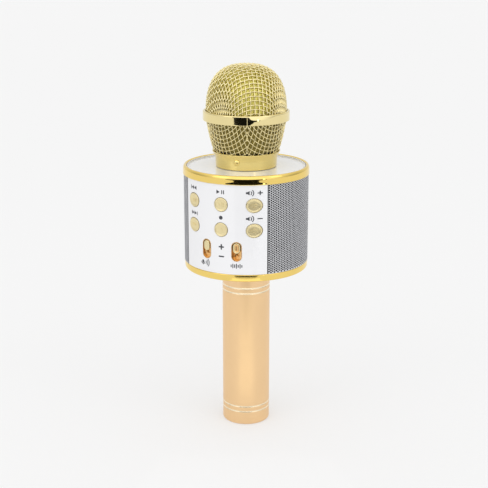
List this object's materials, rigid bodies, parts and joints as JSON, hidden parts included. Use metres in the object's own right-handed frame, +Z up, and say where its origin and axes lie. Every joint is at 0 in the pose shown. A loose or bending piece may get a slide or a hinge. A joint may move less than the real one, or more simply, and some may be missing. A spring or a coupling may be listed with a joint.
{
  "type": "karaoke microphone",
  "caption": "Handheld karaoke microphone with a round loudspeaker drum, push buttons, level sliders and an unscrewing wire-mesh head.",
  "frame": {"origin": "centre of the handle's flat bottom face", "axes": "+Z up along the handle to the mesh head, -Y out of the button panel, +X to the right of someone facing the panel"},
  "size_m": [0.082, 0.0821, 0.2409],
  "materials": {
    "anodised_handle": "satin anodised",
    "plated_rim": "bright gold plating on moulded plastic",
    "plated_metal": "polished gold plate",
    "gold_mesh": "woven wire, gold plate",
    "gold_gauze": "fine woven gauze",
    "plated_button": "pale gold plating on moulded plastic",
    "white_shell": "gloss",
    "grille_sheet": "perforated, grey lacquer",
    "acoustic_cloth": "woven black cloth",
    "black_plastic": "matt",
    "circuit_board": "solder mask",
    "chip_plastic": "matt",
    "steel": "zinc plate",
    "ferrite": "bare",
    "speaker_paper": "coated",
    "rubber": "matt",
    "foam": "open-cell foam",
    "cell_wrap": "shrink wrap",
    "nickel": "plain",
    "lead_insulation": "smooth",
    "light_pipe": "clear"
  },
  "bodies": {
    "body": {"handle_tube": "anodised_handle", "end_cap": "anodised_handle", "handle_coupling": "black_plastic", "battery_carrier": "black_plastic", "battery_cell": "cell_wrap", "battery_contacts": "nickel", "battery_leads": "lead_insulation", "bottom_rim": "plated_rim", "top_rim": "plated_rim", "bottom_cover": "white_shell", "top_cover": "white_shell", "front_panel": "white_shell", "rear_panel": "white_shell", "left_grille": "grille_sheet", "right_grille": "grille_sheet", "grille_cloth": "acoustic_cloth", "drum_chassis": "black_plastic", "chassis_screws": "steel", "left_speaker_frame": "steel", "right_speaker_frame": "steel", "left_speaker_cone": "speaker_paper", "right_speaker_cone": "speaker_paper", "left_speaker_magnet": "ferrite", "right_speaker_magnet": "ferrite", "speaker_leads": "lead_insulation", "button_board": "circuit_board", "main_board": "circuit_board", "board_chips": "chip_plastic", "tact_switches": "black_plastic", "slide_pots": "steel", "mic_volume_bezel": "plated_button", "effect_bezel": "plated_button", "power_switch_body": "black_plastic", "status_lights": "light_pipe", "charge_socket": "steel", "audio_jack": "black_plastic", "card_socket": "steel", "neck_spigot": "black_plastic", "capsule_post": "black_plastic", "capsule_holder": "rubber", "mic_capsule": "nickel", "microphone_lead": "black_plastic"},
    "previous_button": {"previous_button": "plated_button"},
    "play_button": {"play_button": "plated_button"},
    "volume_up_button": {"volume_up_button": "plated_button"},
    "next_button": {"next_button": "plated_button"},
    "record_button": {"record_button": "plated_button"},
    "volume_down_button": {"volume_down_button": "plated_button"},
    "mode_button": {"mode_button": "plated_button"},
    "mic_volume_slider": {"mic_volume_slider": "plated_button"},
    "effect_slider": {"effect_slider": "plated_button"},
    "power_switch_slider": {"power_switch_slider": "plated_button"},
    "windscreen": {"foam_windscreen": "foam"},
    "head": {"head_collar": "plated_metal", "collar_thread_ring": "plated_metal", "collar_stud": "plated_metal", "cup_mesh": "gold_mesh", "head_band": "plated_metal", "dome_mesh": "gold_mesh", "dome_gauze": "gold_gauze"}
  },
  "joints": [
    {"name": "previous_press", "type": "slide", "parent": "body", "child": "previous_button", "axis": [0, 1, 0], "range_m": [0, 0.0008], "stiffness_N_per_m": 400, "springref_m": -0.0005},
    {"name": "play_press", "type": "slide", "parent": "body", "child": "play_button", "axis": [0, 1, 0], "range_m": [0, 0.0008], "stiffness_N_per_m": 400, "springref_m": -0.0005},
    {"name": "volume_up_press", "type": "slide", "parent": "body", "child": "volume_up_button", "axis": [0, 1, 0], "range_m": [0, 0.0008], "stiffness_N_per_m": 400, "springref_m": -0.0005},
    {"name": "next_press", "type": "slide", "parent": "body", "child": "next_button", "axis": [0, 1, 0], "range_m": [0, 0.0008], "stiffness_N_per_m": 400, "springref_m": -0.0005},
    {"name": "record_press", "type": "slide", "parent": "body", "child": "record_button", "axis": [0, 1, 0], "range_m": [0, 0.0008], "stiffness_N_per_m": 400, "springref_m": -0.0005},
    {"name": "volume_down_press", "type": "slide", "parent": "body", "child": "volume_down_button", "axis": [0, 1, 0], "range_m": [0, 0.0008], "stiffness_N_per_m": 400, "springref_m": -0.0005},
    {"name": "mode_press", "type": "slide", "parent": "body", "child": "mode_button", "axis": [0, -1, 0], "range_m": [0, 0.0008], "stiffness_N_per_m": 400, "springref_m": -0.0005},
    {"name": "mic_volume_slide", "type": "slide", "parent": "body", "child": "mic_volume_slider", "axis": [0, 0, 1], "range_m": [-0.0044, 0]},
    {"name": "effect_slide", "type": "slide", "parent": "body", "child": "effect_slider", "axis": [0, 0, 1], "range_m": [-0.0044, 0]},
    {"name": "power_slide", "type": "slide", "parent": "body", "child": "power_switch_slider", "axis": [1, 0, 0], "range_m": [0, 0.003]},
    {"name": "head_lift", "type": "slide", "parent": "body", "child": "windscreen", "axis": [0, 0, 1], "range_m": [0, 0.00601]},
    {"name": "head_unscrew", "type": "hinge", "parent": "windscreen", "child": "head", "pos_m": [0, 0, 0.18], "axis": [0, 0, 1], "range_deg": [0, 1440]}
  ],
  "couplings": [
    {"joint": "head_lift", "follows": "head_unscrew", "m_per_rad": 0.00023873}
  ]
}
